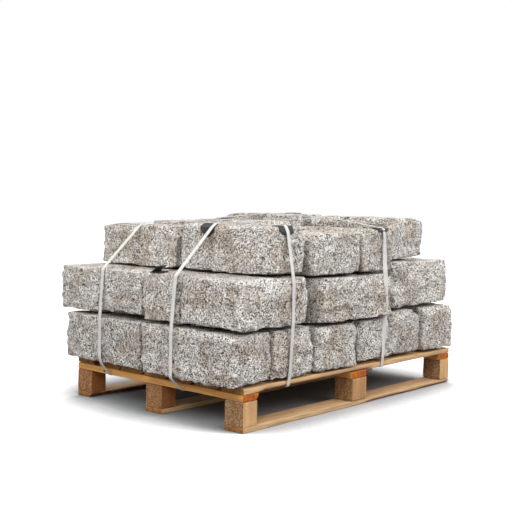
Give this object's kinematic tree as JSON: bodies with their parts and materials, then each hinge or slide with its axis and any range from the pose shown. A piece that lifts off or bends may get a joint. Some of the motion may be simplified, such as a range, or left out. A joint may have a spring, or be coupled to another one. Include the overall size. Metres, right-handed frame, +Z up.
{
  "type": "pallet of granite walling stones",
  "caption": "Rough-split grey granite walling stones in three dry courses on a one-way wooden block pallet, held by white straps over black plastic edge protectors.",
  "frame": {"origin": "middle of the pallet's underside, on the middle bottom board", "axes": "+X along the pallet's 1200 mm side, +Y along its 800 mm side to the rear, +Z up"},
  "size_m": [1.2716, 0.8883, 0.6537],
  "materials": {
    "granite": "rough split",
    "board_wood": "rough sawn",
    "block_wood": "pressed chips",
    "strap": "woven",
    "protector": "moulded"
  },
  "bodies": {
    "root": {"blocks_left": "block_wood", "blocks_middle": "block_wood", "blocks_right": "block_wood", "bottom_board_front": "board_wood", "bottom_board_middle": "board_wood", "bottom_board_rear": "board_wood", "deck_board_1": "board_wood", "deck_board_2": "board_wood", "deck_board_3": "board_wood", "deck_board_4": "board_wood", "deck_board_5": "board_wood", "deck_board_6": "board_wood", "deck_board_7": "board_wood", "edge_protector_front_left": "protector", "edge_protector_front_right": "protector", "edge_protector_left_front": "protector", "edge_protector_left_rear": "protector", "edge_protector_rear_right": "protector", "edge_protector_right_front": "protector", "edge_protector_right_rear": "protector", "edge_protector_spare": "protector", "stone_1_front_a": "granite", "stone_1_front_b": "granite", "stone_1_front_c": "granite", "stone_1_front_d": "granite", "stone_1_front_e": "granite", "stone_1_front_f": "granite", "stone_1_rear_a": "granite", "stone_1_rear_b": "granite", "stone_1_rear_c": "granite", "stone_1_rear_d": "granite", "stone_1_rear_e": "granite", "stone_1_rear_f": "granite", "stone_2_left_a": "granite", "stone_2_left_b": "granite", "stone_2_left_c": "granite", "stone_2_left_d": "granite", "stone_2_middle_a": "granite", "stone_2_middle_b": "granite", "stone_2_middle_c": "granite", "stone_2_middle_d": "granite", "stone_2_right_a": "granite", "stone_2_right_b": "granite", "stone_2_right_c": "granite", "stone_2_right_d": "granite", "stone_3_front_a": "granite", "stone_3_front_b": "granite", "stone_3_front_c": "granite", "stone_3_front_d": "granite", "stone_3_rear_a": "granite", "stone_3_rear_b": "granite", "stone_3_rear_c": "granite", "stone_3_rear_d": "granite", "strap_front": "strap", "strap_left": "strap", "strap_rear": "strap", "strap_right": "strap", "stringer_left": "board_wood", "stringer_middle": "board_wood", "stringer_right": "board_wood"}
  },
  "joints": []
}
